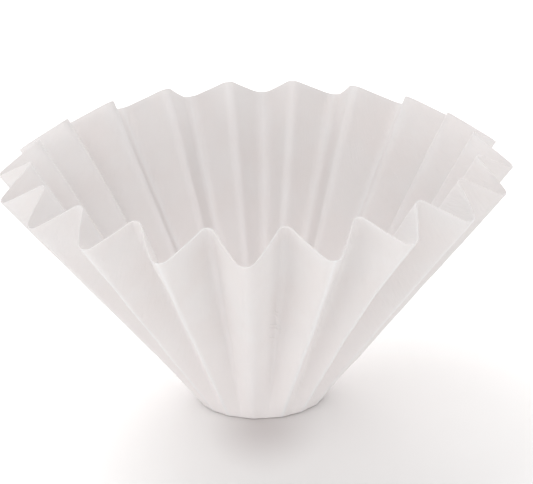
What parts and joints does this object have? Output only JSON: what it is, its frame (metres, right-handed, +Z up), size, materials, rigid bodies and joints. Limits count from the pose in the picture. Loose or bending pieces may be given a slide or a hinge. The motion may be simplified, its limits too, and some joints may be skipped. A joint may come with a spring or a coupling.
{
  "type": "paper coffee filter",
  "caption": "Flat-bottomed cone of thin creped paper, pressed from one round sheet into deep flutes that widen from the bottom to the open rim.",
  "frame": {"origin": "centre of the flat bottom's underside, which stands on the surface", "axes": "+Z up along the cone's axis, towards the open rim; -Y towards the front, where the first ridge is"},
  "size_m": [0.1066, 0.1066, 0.0557],
  "materials": {
    "filter_paper": "matte bleached white creped paper"
  },
  "bodies": {
    "root": {"filter_paper": "filter_paper"}
  },
  "joints": []
}
